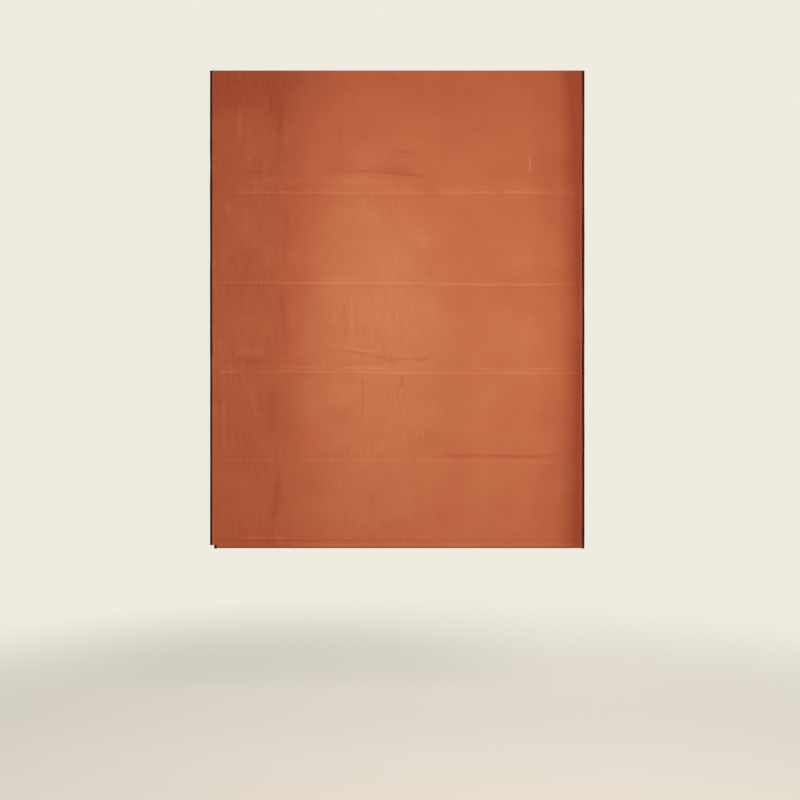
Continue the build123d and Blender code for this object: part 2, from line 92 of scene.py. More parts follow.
ribs = (1, 2, 3, 4)
cloth_across, cloth_out, cloth_up = reach("face_cloth")
lining_across, lining_out, lining_up = reach("lining_cloth")
bar_across, bar_out, bar_up = reach("bottom_bar")
rod_out = sum(reach("rib_rod_1")[1]) / 2
rib_heights = [sum(reach(f"rib_rod_{rib}")[2]) / 2 for rib in ribs]
print("rib heights:", [round(height, 1) for height in rib_heights])

# %% Name the layers of cloth
velvet = 1.4
lining = 0.5
clearance = 0.3
# The plain cloth's front is that of its tucks, which stand this proud of the velvet
tuck_proud = 1.5
# The velvet's sides end this far inside the dark edges that cover them
side_inset = 0.6
velvet_front = cloth_out[1] - tuck_proud
velvet_back = velvet_front - velvet
lining_middle = lining_out[0] + lining / 2
band_middle = lining_out[1] - lining / 2
cloth_top = cloth_up[1]
hem_bottom = cloth_up[0]
hem_top = bar_up[1] + clearance + velvet
velvet_half = cloth_across[1] - side_inset
print(f"velvet front {velvet_front:.1f}, hem from {hem_bottom:.1f} to {hem_top:.1f}")

# %% [markdown]
# ## Small tools
# Every sheet of cloth below is a grid: numbers for across, out and up at each row and column, worked out as
# whole arrays and handed to the mesh at once. That is quick, and the formula stays readable, where a loop
# over thousands of vertices would be neither.

# %% Soft steps, bells and random hills
def step(value, start, end):
    """0 before start, 1 after end, and the smooth blend 3t² - 2t³ between them."""
    t = np.clip((value - start) / (end - start), 0, 1)
    return t * t * (3 - 2 * t)


def bell(distance, width):
    """1 at distance 0, falling off as exp(-(distance / width)²)."""
    return np.exp(-((distance / width) ** 2))


def hills(u, v, seed):
    """Smooth random heights from -1 to 1: one at each whole u and v, and between the four a blend by
    step. They repeat after 64 of each."""
    size = 64
    heights = np.random.default_rng(seed).uniform(-1, 1, (size, size))
    u, v = np.broadcast_arrays(u, v)
    u0, v0 = np.floor(u).astype(int), np.floor(v).astype(int)
    s, t = step(u - u0, 0, 1), step(v - v0, 0, 1)
    u0, u1, v0, v1 = u0 % size, (u0 + 1) % size, v0 % size, (v0 + 1) % size
    low = heights[u0, v0] * (1 - s) + heights[u1, v0] * s
    high = heights[u0, v1] * (1 - s) + heights[u1, v1] * s
    return low * (1 - t) + high * t


print("a step from 0 to 10, seen at 3:", float(step(3, 0, 10)))

# %% From a grid of places to a mesh
def quads(grid):
    """The four-sided faces of a grid of vertex numbers: one between each two rows and two columns."""
    return np.stack((grid[:-1, :-1], grid[:-1, 1:], grid[1:, 1:], grid[1:, :-1]), axis=-1).reshape(-1, 4)


def piece_of(name, points, faces):
    """A new object in the scene, with a mesh of these points, in metres, and these faces."""
    mesh = bpy.data.meshes.new(name)
    mesh.from_pydata(points.tolist(), [], faces)
    piece = bpy.data.objects.new(name, mesh)
    bpy.context.collection.objects.link(piece)
    return piece


def surface(name, across, out, up, ring=False, loop=False, caps=False, keep=None, marks=None):
    """A piece from rows and columns of places in millimetres, with a face between neighbours. `ring`
    joins the last column to the first, `loop` the last row to the first, and `caps` closes both end
    rows. `keep` is true for the faces that stay, and `marks` are values stored at the vertices."""
    across, out, up = np.broadcast_arrays(across, out, up)
    rows, columns = across.shape
    index = np.arange(rows * columns).reshape(rows, columns)
    grid = np.hstack((index, index[:, :1])) if ring else index
    grid = np.vstack((grid, grid[:1])) if loop else grid
    kept = quads(grid) if keep is None else quads(grid)[keep.ravel()]
    used, places = np.unique(kept, return_inverse=True)
    faces = places.reshape(-1, 4).tolist()
    if caps:
        faces += [index[0, ::-1].tolist(), index[-1].tolist()]
    points = np.stack((across, -out, up), axis=-1).reshape(-1, 3)[used] * mm
    piece = piece_of(name, points, faces)
    for mark, values in (marks or {}).items():
        layer = piece.data.attributes.new(mark, "FLOAT", "POINT")
        values = np.broadcast_to(values, (rows, columns)).ravel()[used]
        layer.data.foreach_set("value", values.astype(np.float32))
    return piece


def settle(piece, smooth=40):
    """Applies the modifiers and turns the faces outwards. The volume inside, a sum over the triangles of
    a · (b x c) / 6, comes out negative where they point in. Edges over `smooth` degrees stay sharp."""
    depsgraph = bpy.context.evaluated_depsgraph_get()
    mesh = bpy.data.meshes.new_from_object(piece.evaluated_get(depsgraph))
    piece.modifiers.clear()
    piece.data = mesh
    mesh.calc_loop_triangles()
    corners = np.empty(3 * len(mesh.loop_triangles), np.int32)
    mesh.loop_triangles.foreach_get("vertices", corners)
    points = np.empty(3 * len(mesh.vertices), np.float32)
    mesh.vertices.foreach_get("co", points)
    a, b, c = points.reshape(-1, 3)[corners.reshape(-1, 3)].transpose(1, 0, 2).astype(float)
    volume = np.einsum("ij,ij->", a, np.cross(b, c)) / 6
    if volume < 0:
        mesh.flip_normals()
    mesh.shade_smooth()
    mesh.set_sharp_from_angle(angle=math.radians(smooth))
    print(f"{piece.name}: {len(corners) // 3} triangles, {abs(volume) * 1e6:.1f} cm3")
    return piece


def place(piece, body, material, stands_for=()):
    """The piece takes its finish, rides on its body, and stands for the plain parts that it replaces."""
    piece.data.materials.clear()
    piece.data.materials.append(material)
    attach(piece, body)
    if stands_for:
        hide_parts(*stands_for)
    return piece

# %% [markdown]
# ## Colours and shader nodes
# A colour seen on a screen is an sRGB code, and a shader wants linear light, so one function converts them.
# Another adds a node with all that belongs to it. Building the trees by hand in the node editor would look
# the same, but here each number can carry the reason for it.

# %% Colour and node tools
def linear(code):
    """A hex sRGB colour as linear red, green, blue and alpha."""
    srgb = np.array([int(code[i : i + 2], 16) for i in (1, 3, 5)]) / 255
    light = np.where(srgb <= 0.04045, srgb / 12.92, ((srgb + 0.055) / 1.055) ** 2.4)
    return (*light.tolist(), 1.0)


def add(tree, kind, settings=None, **inputs):
    """Adds a shader node. An input named _0 is the socket of that number, any other name has its spaces
    as underscores. Another node's output is linked to it, and a plain value is set on the socket."""
    node = tree.nodes.new("ShaderNode" + kind)
    for name, value in (settings or {}).items():
        setattr(node, name, value)
    for name, value in inputs.items():
        socket = node.inputs[int(name[1:]) if name[0] == "_" else name.replace("_", " ")]
        if isinstance(value, bpy.types.NodeSocket):
            tree.links.new(value, socket)
        else:
            socket.default_value = value
    return node


def blank(name):
    """A new and empty material, its tree, and its Object coordinates, which stay put on the piece."""
    material = bpy.data.materials.new(name)
    material.use_nodes = True
    material.node_tree.nodes.clear()
    return material, material.node_tree, add(material.node_tree, "TexCoord").outputs["Object"]


def finish(tree, shader):
    """Connects the last shader to the material's output."""
    add(tree, "OutputMaterial", Surface=shader.outputs[0])


print("middle grey on a screen is, in linear light:", round(linear("#808080")[0], 3))

# %% [markdown]
# ## Cotton velvet
# Velvet is woven with an upright pile, sheared short. Seen head on it shows its own colour, clouded by
# handling and streaked along the fall of the cloth. A value worked out with the cloth's shape leads from a
# deep tone to a pale one. It holds painted shadow at the left, painted shade at the right, the top, the foot
# and in the creases, a painted pool of light in the middle and painted highlights on the crests, and also
# slow random tone. Noise at the size of the pile's tufts adds to it.

# %% Velvet
velvet_cloth, tree, place_on = blank("cotton_velvet")
# Painted shade and light, worked out with the cloth's shape, and slow random tone, stored at its vertices
shade_tone = add(tree, "Attribute", {"attribute_name": "shade_tone"}).outputs["Fac"]
handled = add(tree, "Attribute", {"attribute_name": "handled"}).outputs["Fac"]
# Math set to the first times the second plus the third
times_plus = {"operation": "MULTIPLY_ADD"}
# Clouds of brushed pile 70 mm wide
clouds = add(tree, "TexNoise", Vector=place_on, Scale=1 / 0.07, Detail=3.0, Roughness=0.55)
# Where the cloth was handled: pulls 8 mm wide and 50 mm long, and dashes 3.5 mm wide and 18 mm long
marks = -(0.26 + 0.14) / 2
for wide, high, share, bent in ((0.008, 0.05, 0.26, 0.6), (0.0035, 0.018, 0.14, 0.8)):
    space = add(tree, "Mapping", Vector=place_on, Scale=(1 / wide, 1.0, 1 / high)).outputs[0]
    streaks = add(tree, "TexNoise", Vector=space, Scale=1.0, Detail=2.0, Roughness=0.5, Distortion=bent)
    marks = add(tree, "Math", times_plus, _0=streaks.outputs["Fac"], _1=share, _2=marks).outputs[0]
# Tufts stand 0.4 mm apart, too fine to show, so they are drawn as crushed clumps 3.5 mm and 1.2 mm wide
clumps = add(tree, "TexNoise", Vector=place_on, Scale=1 / 0.0035, Detail=2.0, Roughness=0.6)
tufts = add(tree, "TexNoise", Vector=place_on, Scale=1 / 0.0012, Detail=1.0, Roughness=0.5)
# The streaks, as strong as the cloth was handled, are added to the stored painted shade and light. Each
# noise averages a half, so it is added as its difference from a half
tone = add(tree, "Math", times_plus, _0=marks, _1=handled, _2=shade_tone).outputs[0]
for noise, share in ((clouds, 0.14), (clumps, 0.11), (tufts, 0.1)):
    raised = add(tree, "Math", times_plus, _0=noise.outputs["Fac"], _1=share, _2=tone).outputs[0]
    tone = add(tree, "Math", {"operation": "SUBTRACT"}, _0=raised, _1=share / 2).outputs[0]
# The ramp runs from velvet in painted shade to velvet in painted light: red grows first and yellow later
shade_ramp = add(tree, "ValToRGB", Fac=tone)
shade_ramp_stops = shade_ramp.color_ramp.elements
for position in (0.4, 0.64):
    shade_ramp_stops.new(position)
for stop, code in zip(shade_ramp_stops, ("#9C472F", "#BD6645", "#CC7B55", "#E39367")):
    stop.color = linear(code)
bump = add(tree, "Bump", Height=tufts.outputs["Fac"], Strength=0.35, Distance=0.0004).outputs[0]
bump = add(tree, "Bump", Height=clumps.outputs["Fac"], Strength=0.35, Distance=0.0009, Normal=bump).outputs[0]
shader = add(
    tree,
    "BsdfPrincipled",
    Base_Color=shade_ramp.outputs["Color"],
    Roughness=0.92,
    Specular_IOR_Level=0.1,
    Sheen_Weight=0.2,
    Sheen_Roughness=0.4,
    Sheen_Tint=linear("#F0B493"),
    Normal=bump,
)
finish(tree, shader)
print("velvet:", len(tree.nodes), "nodes")

# %% [markdown]
# ## Brown sateen and its thread
# The lining that turns round onto the face as a dark edge is a plain brown cloth. Its threads lie about
# 0.35 mm apart. Two sets of bands crossed at right angles give the weave. Noises of several sizes give the
# slubs, the threads that are thicker than the rest, the pressing marks, and the cloudy wear of a cloth that
# faces the window.

# %% Lining, rib pockets and thread
# Mix set to colours: its sockets are 0 for the share, and 6 and 7 for the two colours
colours = {"data_type": "RGBA"}


def woven(name, dark, pale, pitch):
    """Plain-woven cloth: bands across and bands upright, one thread to a wave, multiplied into a checker
    of thread tops. It gives a bump and the step from the dark colour to the pale one."""
    material, tree, place_on = blank(name)
    threads = add(tree, "Mapping", Vector=place_on, Scale=(1 / pitch, 1 / pitch, 1 / pitch)).outputs[0]
    # The bands lie 2 pi / (20 x scale) apart, so this gives about one to a thread
    bands = {"Vector": threads, "Scale": 1 / math.pi, "Distortion": 0.6, "Detail": 1.0}
    weft = add(tree, "TexWave", {"bands_direction": "Z"}, **bands)
    warp = add(tree, "TexWave", {"bands_direction": "X"}, **bands)
    weave = add(tree, "Math", {"operation": "MULTIPLY"}, _0=weft.outputs["Fac"], _1=warp.outputs["Fac"])
    # Slubs of 12 mm, thick threads 1.5 by 45 mm both ways, pressing marks 35 by 120 mm and clouds of 110 mm
    slubs = add(tree, "TexNoise", Vector=place_on, Scale=1 / 0.012, Detail=4.0, Roughness=0.65)
    clouds = add(tree, "TexNoise", Vector=place_on, Scale=1 / 0.11, Detail=3.0, Roughness=0.55)
    tone = add(tree, "Math", times_plus, _0=weave.outputs[0], _1=0.35, _2=-0.8).outputs[0]
    for noise, share in ((slubs, 0.7), (clouds, 0.55)):
        tone = add(tree, "Math", times_plus, _0=noise.outputs["Fac"], _1=share, _2=tone).outputs[0]
    for wide, high, share in ((0.0015, 0.045, 0.28), (0.045, 0.0015, 0.32), (0.035, 0.12, 0.3)):
        space = add(tree, "Mapping", Vector=place_on, Scale=(1 / wide, 1.0, 1 / high)).outputs[0]
        marks = add(tree, "TexNoise", Vector=space, Scale=1.0, Detail=1.0, Roughness=0.5)
        tone = add(tree, "Math", times_plus, _0=marks.outputs["Fac"], _1=share, _2=tone).outputs[0]
    colour = add(tree, "Mix", colours, _0=tone, _6=linear(dark), _7=linear(pale))
    bump = add(tree, "Bump", Height=weave.outputs[0], Strength=0.6, Distance=0.0003)
    shader = add(
        tree,
        "BsdfPrincipled",
        Base_Color=colour.outputs[2],
        Roughness=0.85,
        Specular_IOR_Level=0.12,
        Sheen_Weight=0.06,
        Sheen_Roughness=0.5,
        Sheen_Tint=linear(pale),
        Normal=bump.outputs[0],
    )
    finish(tree, shader)
    return material


# A thread pitch of 0.35 mm wouldn't show, so the lining's is drawn at 1.1 mm and the stouter tape's at 1.4 mm
sateen = woven("brown_cotton_sateen", "#2B1208", "#4E2410", 0.0011)
pocket_tape = woven("brown_polyester_tape", "#2A140C", "#53301E", 0.0014)
nylon_tape = woven("cream_nylon_tape", "#CFC7B8", "#EDE8DC", 0.0012)
brown_thread = woven("brown_sewing_thread", "#3A1D12", "#6B4230", 0.0006)
rust_thread = woven("rust_sewing_thread", "#8F3D22", "#C9714A", 0.0006)
print("woven cloths: sateen, pocket tape, nylon tape and two threads")

# %% [markdown]
# ## The face cloth's relief
# The cloth hangs flat, so all that shapes it is shallow: a stitched tuck over each rib, puckers where the
# stitches draw it in, a few creases from handling, slow waves, and streaky pull lines in its left third.
# Cloth simulation would give waves of its own choosing. These are known from the blind itself, so each is
# written as a height in millimetres over (across, up), and the heights are added.

# %% Tucks over the ribs
# How far each tuck hangs below the middle of its rib, at nine places across the blind
tuck_places = (-414, -307, -201, -94, 13, 119, 226, 333, 426)
tuck_drops = (
    (0.6, 0.4, 1.7, 2.0, 1.7, 1.4, -0.2, 0.1, 3.6),
    (2.4, 3.4, 4.5, 4.5, 4.5, 6.4, 8.2, 8.5, 7.4),
    (3.3, 3.2, 4.4, 4.4, 7.0, 6.5, 6.5, 8.1, 7.0),
    (2.1, 0.5, 1.6, 0.2, 2.4, 3.7, 6.9, 7.2, 7.7),
)
# How proud the ridge over each rib stands, and the flatter fold above it, here called its brow
ridge_heights = (0.85, 0.85, 0.8, 0.35)
brow_heights = (0.15, 0.25, 0.45, 0.0)
# Half the ridge's width, how far the brow lies above it, and the width of the brow's bell
ridge_half = 6.4
brow_rise = 10.0
brow_half = 2.8


def tuck_line(across, rib):
    """Height of one tuck's middle: straight runs join the drops, and it wanders by under a millimetre."""
    middle = rib_heights[rib] - np.interp(across, tuck_places, tuck_drops[rib])
    return middle + 0.4 * hills(across / 120, rib * 5.3, 11) + 0.35 * hills(across / 31, rib * 3.1, 12)


def tucks(across, up):
    """Over each rib a ridge, as the power 1.3 of a cosine, a lower bell above it, and a shallow groove
    on either side that comes and goes. All fade in at the two ends."""
    height = np.zeros_like(across)
    for rib in range(len(rib_heights)):
        away = up - tuck_line(across, rib)
        ends = step(across, -485, -470) * step(across, 492, 480)
        proud = ridge_heights[rib] * (1.0 + 0.35 * hills(across / 70, rib * 2.7, 13))
        ridge = proud * np.cos(np.clip(away / ridge_half, -1, 1) * math.pi / 2) ** 1.3
        folded = 1.0 + hills(across / 60, rib * 9.7, 57)
        brow = brow_heights[rib] * folded * bell(away - brow_rise, brow_half)
        above = np.maximum(0.25 + 0.35 * hills(across / 55, rib * 3.9, 14), 0)
        below = np.maximum(0.25 + 0.35 * hills(across / 55, rib * 5.9, 15), 0)
        grooves = above * bell(away - ridge_half, 1.6) + below * bell(away + 7.4, 1.7)
        height += ends * (ridge + brow - grooves * ridge_heights[rib])
    return height


def puckers(across, up):
    """Upright ripples with a random height every 9 mm and every 23 mm. They are strongest at the stitches and
    fall off as exp(-distance / 11) and exp(-distance / 28)."""
    height = np.zeros_like(across)
    for rib in range(len(rib_heights)):
        away = np.abs(up - tuck_line(across, rib))
        height += 0.34 * hills(across / 9.0, rib * 4.1, 21) * np.exp(-away / 11)
        height += 0.22 * hills(across / 23.0, rib * 6.7, 22) * np.exp(-away / 28)
    return height


print("ridges stand proud by", ridge_heights, "mm, give or take a third")

# %% Creases and pull lines, with painted shade and highlight
# Each line is (places across, places up, width, depth, change of tone), where the change is painted shade on
# a line that sinks and painted highlight on one that rises. These run across the blind
level_lines = (
    (
        (-179, -139, -94, -33, 13, 61, 101, 127),
        (-254, -253, -251, -253, -259, -262, -271, -285),
        3.6,
        0.7,
        -0.15,
    ),
    ((-200, -94, 13, 70), (-244, -240, -248, -256), 12.0, 0.3, -0.07),
    ((-481, -446, -393, -318), (-255, -254, -253, -258), 7.0, 0.3, -0.05),
    ((-481, -393, -250, -150, 60), (-272, -276, -276, -274, -280), 11.0, -0.6, 0.07),
    ((-27, 7, 39, 63), (-194, -197, -203, -206), 3.2, 0.6, -0.18),
    ((10, 60, 130), (-178, -182, -186), 14.0, -0.3, 0.06),
    ((-15, 20, 50), (-223, -224, -227), 3.0, -0.3, 0.16),
    ((-153, -121, -86, -46, -14, 25), (-725, -733, -739, -747, -750, -752), 3.0, 0.5, -0.14),
    ((-70, -25, 7, 47, 106), (-763, -757, -752, -751, -754), 2.8, 0.7, -0.2),
    ((-211, -161, -99, -46, -19), (-705, -717, -727, -733, -736), 3.0, -0.4, 0.13),
    ((-480, -440, -360, -300), (-754, -755, -757, -760), 6.0, 0.3, -0.07),
    ((-450, -400, -330), (-728, -731, -735), 12.0, -0.6, 0.10),
    ((60, 119, 226, 333, 380, 467), (-1008, -1009, -1010, -1012, -1012, -1003), 4.2, 0.7, -0.19),
    ((-259, -153, -46, 100), (-1011, -1008, -1009, -1007), 2.4, 0.1, -0.04),
    ((-441, -393, -259), (-1229, -1228, -1230), 3.0, -0.3, 0.16),
    ((-497, -350, -46, 60), (-1234, -1235, -1235, -1235), 2.4, 0.1, -0.1),
    ((-139, -60, 20), (0, 1, -1), 2.2, 0.2, -0.12),
    ((127, 260, 420), (1, 2, 0), 2.2, 0.2, -0.12),
)
# These run up and down
upright_lines = (
    ((-323, -317, -313, -310), (-265, -194, -127, -40), 9.0, 0.3, -0.09),
    ((-297, -297, -297), (-250, -120, 10), 3.4, -0.3, 0.09),
    ((-337, -337), (-110, -45), 3.0, 0.2, -0.12),
    ((-299, -297, -302), (-530, -407, -322), 10.0, 0.3, -0.09),
    ((-297, -305, -310), (-720, -647, -560), 10.0, 0.4, -0.12),
    ((-334, -334, -318), (-975, -861, -790), 7.0, 0.3, -0.09),
    ((-337, -329, -321, -313), (-1222, -1167, -1100, -1024), 9.0, 0.4, -0.14),
    ((-361, -371, -385, -393), (-932, -909, -874, -812), 4.5, -0.3, 0.11),
    ((-352, -366, -374), (-915, -860, -815), 3.2, 0.3, -0.08),
    ((-475, -474), (-1000, -820), 4.5, 0.2, -0.08),
    ((-462, -463), (-990, -830), 3.5, -0.3, 0.12),
    ((-449, -450), (-985, -850), 3.5, 0.3, -0.14),
    ((-97, -92, -94), (-930, -860, -792), 2.4, 0.5, -0.18),
    ((13, 12), (-832, -792), 2.2, 0.4, -0.18),
    ((4, 0, 2), (-905, -850, -800), 1.8, 0.2, -0.1),
    ((354, 353), (-266, -198), 2.4, -0.5, 0.2),
    ((-170, -168), (-668, -612), 6.0, -0.3, 0.14),
    ((-142, -140), (-720, -580), 3.0, 0.2, -0.12),
    ((-120, -122), (-715, -575), 4.0, -0.2, 0.1),
    ((0, 2), (-722, -610), 2.0, -0.3, 0.14),
    ((6, 7), (-722, -610), 2.0, 0.3, -0.12),
    ((-420, -421), (-178, -72), 4.5, -0.3, 0.16),
    ((-394, -396), (-240, -200), 5.0, -0.3, 0.14),
    ((-350, -352), (-290, -212), 5.5, -0.2, 0.12),
    ((-149, -155), (-192, -118), 1.9, 0.3, -0.18),
    ((-70, -72), (-160, -105), 1.9, -0.2, 0.14),
    ((-451, -452), (-366, -326), 7.5, -0.3, 0.16),
    ((-402, -404), (-418, -350), 6.0, -0.2, 0.12),
    ((-345, -347), (-508, -432), 5.0, -0.2, 0.12),
    ((74, 72), (-462, -418), 9.0, -0.2, 0.12),
    ((-155, -150), (-1110, -1040), 6.0, -0.2, 0.06),
    ((-68, -60), (-1170, -1080), 3.0, 0.2, -0.08),
)


def drawn_lines(across, up):
    """The height and the change of tone that all the lines add. On a line both reach their full value, and a
    crease, which sinks there, rises by half as much just beside it. The change is painted shade where a line
    sinks and painted highlight where it rises. Each line wanders a little and fades at both ends."""
    height, shade_tone = np.zeros_like(across), np.zeros_like(across)
    for lines, upright in ((level_lines, False), (upright_lines, True)):
        for line_across, line_up, width, depth, change in lines:
            along, aside = (up, across) if upright else (across, up)
            line_along, line_aside = (line_up, line_across) if upright else (line_across, line_up)
            middle = np.interp(along, line_along, line_aside) + 1.0 * hills(along / 17, line_along[0] / 9, 31)
            length = line_along[-1] - line_along[0]
            ends = step(along, line_along[0], line_along[0] + 0.3 * length)
            ends = ends * step(along, line_along[-1], line_along[-1] - 0.3 * length)
            away = aside - middle
            broken = 0.75 + 0.4 * hills(along / 26, line_along[0] / 7, 32)
            lip = 0.5 * bell(away - 1.9 * width, 1.4 * width)
            height += depth * ends * broken * (lip - bell(away, width))
            # Painted shade along sunk lines and painted highlight along raised ones
            shade_tone += change * ends * broken * bell(away, width)
    return height, shade_tone


def waves(across, up):
    """Hills of five sizes added: two of slow undulation, two of short upright pull lines, which are faint at
    the right, and one of fine unevenness."""
    handled = 0.6 * step(across, 250, 120)
    height = 0.7 * hills(across / 170, up / 240, 41) + 0.28 * hills(across / 62, up / 95, 42)
    height += (0.04 + 0.12 * handled) * hills(across / 15, up / 110, 43)
    height += (0.03 + 0.09 * handled) * hills(across / 6, up / 38, 44)
    height += 0.05 * hills(across / 9, up / 9, 45)
    return height


def relief(across, up):
    """Tucks, puckers, lines and waves added, faded out under the dark edges and at the top, and held
    between two limits."""
    deepest, proudest = -1.0, 2.2
    height = tucks(across, up) + puckers(across, up) + drawn_lines(across, up)[0] + waves(across, up)
    inside = step(velvet_half - np.abs(across), 3, 14) * step(cloth_top - up, 0, 18)
    return np.clip(height * inside, deepest, proudest)


print("creases and brush marks:", len(level_lines), "across and", len(upright_lines), "upright")

# %% Painted light and shade on the velvet, and where it was handled
def handling(across, up):
    """How much the pile was handled, from 0 to 1: in patches, most in the left third, less in the middle."""
    left = step(across, -230, -310)
    middle = 0.75 * bell(across + 40, 170) * step(up, -150, -330)
    return np.clip(np.maximum(left, middle) * (0.75 + 0.55 * hills(across / 110, up / 90, 55)), 0, 1)


# At each tuck: the painted highlight on the ridge and on the fold above it, and the painted shade in the
# crease between them and below the ridge
fold_light_and_shade = (
    (0.12, 0.05, 0.05, 0.04),
    (0.14, 0.06, 0.08, 0.05),
    (0.13, 0.14, 0.07, 0.03),
    (0.045, 0.0, 0.035, 0.025),
)
# Painted shadow over the left third and painted shade at the right edge, and painted shade with a little
# painted light that changes up the cloth: places in millimetres, and what they take off the tone or, the
# last, add to it
left_shade = ((-500, -470, -330, -290, -230, -170, -100), (0.3, 0.26, 0.24, 0.205, 0.11, 0.04, 0.0))
right_shade = ((350, 430, 463, 483, 500), (0.0, 0.11, 0.33, 0.53, 0.6))
height_shade = (
    (-1240, -1100, -970, -890, -650, -560, -380, -230, -110, 0),
    (-0.05, 0.0, 0.02, 0.05, 0.06, 0.01, -0.02, -0.08, -0.03, 0.0),
)


def shading_and_tone(across, up):
    """A tone from 0, the deepest, to 1, the palest, and a half for the velvet as cut. Painted shadow at the
    left and painted shade at the right, the top and the foot are taken off. A painted pool of light in the
    middle, painted shade and light that change up the cloth, two pale lines at the sides, slow random hills,
    and the painted highlights and shades of each tuck and of the drawn lines are added."""
    # A painted pool of light in the middle, and painted shadow and shade at the two sides
    middle = bell(across + 60, 190) * bell(up + 540, 330)
    shaded_tone = 0.49 - np.interp(across, *left_shade) - np.interp(across, *right_shade) + 0.15 * middle
    # Painted shade and light that change up the cloth, weaker in the left part
    shaded_tone = shaded_tone + np.interp(up, *height_shade) * (0.35 + 0.65 * step(across, -310, -240))
    # Two pale lines along the velvet's edges, beside the dark bands
    shaded_tone = shaded_tone + 0.1 * bell(across + 491, 1.8) + 0.25 * bell(across - 491.5, 1.6)
    # Painted shade along the top and towards the foot
    shaded_tone = shaded_tone - 0.2 * bell(up - 20, 150) - 0.02 * step(up, -900, -1240)
    # Slow random tone
    shaded_tone = shaded_tone + 0.03 * hills(across / 80, up / 60, 53)
    # Painted highlight on each tuck's ridge and brow, painted shade in its crease and below it
    for rib, (ridge, brow, crease, under) in enumerate(fold_light_and_shade):
        away = up - tuck_line(across, rib)
        ends = step(across, -484, -466) * step(across, 490, 470)
        ridge_lit = np.clip(0.75 + 0.55 * hills(across / 45, rib * 7.9, 54), 0.2, 1)
        folded = np.clip(0.6 + 0.9 * hills(across / 60, rib * 9.7, 57), 0, 1)
        shade = np.clip(0.6 + 0.9 * hills(across / 50, rib * 8.3, 58), 0, 1)
        light = ridge * ridge_lit * bell(away, 4.4) + brow * folded * bell(away - brow_rise, brow_half)
        dark = crease * shade * bell(away - 6, 1.8) + under * bell(away + 7.8, 1.9)
        shaded_tone = shaded_tone + ends * (light - dark)
    # The drawn lines add their painted shade and highlight
    return shaded_tone + drawn_lines(across, up)[1]


print("nap in the middle of the cloth:", round(float(shading_and_tone(np.zeros(1), np.full(1, -640.0))[0]), 2))

# %% [markdown]
# ## The face cloth
# The cloth is a closed sheet 1.4 mm thick. Its ring of columns runs along the front from left to right and
# back behind, where the lining hides it and a few columns do. The rows stand 6 mm apart, and 1 mm apart at
# the tucks and creases, which keeps fine detail where it shows. Its top and bottom edges are rounded, as a
# folded edge is.

# %% Build the face cloth
def spaced(low, high, coarse, fine, places, near):
    """Values from low to high, `coarse` apart, and `fine` apart within `near` of each place. The wanted
    spacing is turned into a running count of steps, which is then cut into equal shares."""
    samples = 20001
    track = np.linspace(low, high, samples)
    gap = np.abs(track[:, None] - np.array(places)).min(axis=1)
    count = np.cumsum(np.diff(track, prepend=low) / (fine + (coarse - fine) * step(gap, near, 2 * near)))
    return np.interp(np.linspace(0, count[-1], int(count[-1]) + 1), count, track)


def rounding(up, low, high, radius):
    """How far the cloth's faces draw in near its low and its high edge, as a circle's arc."""
    short = np.clip(radius - np.minimum(up - low, high - up), 0, radius)
    return radius - np.sqrt(radius**2 - short**2)


# Rows lie close at the tucks, at the level creases and round both edges
busy = rib_heights + [-200, -255, -735, -753, -1008, -1228]
edge_rows = np.array([0.0, 0.1, 0.25, 0.45, 0.7, 1.2])
first_row = 1.8
edge_radius = 0.62
heights = spaced(hem_top + first_row, cloth_top - first_row, 6.0, 1.1, busy, 9)
heights = np.concatenate((hem_top + edge_rows, heights, cloth_top - edge_rows[::-1]))
# In front the columns stand 4 mm apart, and behind a few are enough
columns = np.linspace(-velvet_half, velvet_half, 249)
behind = np.linspace(velvet_half, -velvet_half, 12)
front_across, front_up = np.meshgrid(columns, heights)
draw_in = rounding(heights, hem_top, cloth_top, edge_radius)[:, None]
front_out = velvet_front + relief(front_across, front_up) - draw_in
back_out = velvet_back + draw_in + 0 * behind
face = surface(
    "face_velvet",
    np.hstack((front_across, np.broadcast_to(behind, back_out.shape))),
    np.hstack((front_out, back_out)),
    heights[:, None],
    ring=True,
    caps=True,
    marks={
        "shade_tone": np.hstack((shading_and_tone(front_across, front_up), np.full(back_out.shape, 0.45))),
        "handled": np.hstack((handling(front_across, front_up), np.zeros(back_out.shape))),
    },
)
settle(face)
place(face, "headrail_body", velvet_cloth, ("face_cloth",))

# %% [markdown]
# ## The hem
# The lower end of the same velvet is folded into a tube round the bottom bar and stitched to the face. It
# moves with the bar while the cloth above gathers, so it is a piece of its own that rides on the bar. Its
# outline is a box with rounded corners, swept across the blind and thickened inwards. At both lower corners
# the tube is cut away, and the bar's dark end caps show there.

# %% Build the hem
def thicken(piece, thickness, offset):
    """Solidify: gives an open sheet its thickness, inwards for -1 and to both sides for 0."""
    solid = piece.modifiers.new("thickness", "SOLIDIFY")
    solid.thickness = thickness * mm
    solid.offset = offset
    solid.use_even_offset = True
    return piece


def rounded_outline(low_out, high_out, low_up, high_up, radii, stops):
    """A box outline, clockwise and ending at its low front corner: four quarter circles, and between
    them straight runs that stop at each given height on the way up the back and down the front."""
    quarter = np.radians(np.linspace(-90, 0, 6))
    corners = (
        (high_out, low_up, -1, 1),
        (high_out, high_up, -1, -1),
        (low_out, high_up, 1, -1),
        (low_out, low_up, 1, 1),
    )
    middle = (low_out + high_out) / 2
    front, back = [(high_out, stop) for stop in stops], [(low_out, stop) for stop in stops[::-1]]
    runs = (front, [(middle, high_up)], back, [(middle, low_up)])
    points = []
    for turn, ((out, up, to_out, to_up), radius, run) in enumerate(zip(corners, radii, runs)):
        angle = quarter + turn * math.pi / 2
        arc_out = out + to_out * radius + radius * np.cos(angle)
        arc_up = up + to_up * radius + radius * np.sin(angle)
        points += list(zip(arc_out, arc_up)) + run
    return np.array(points[::-1]).T


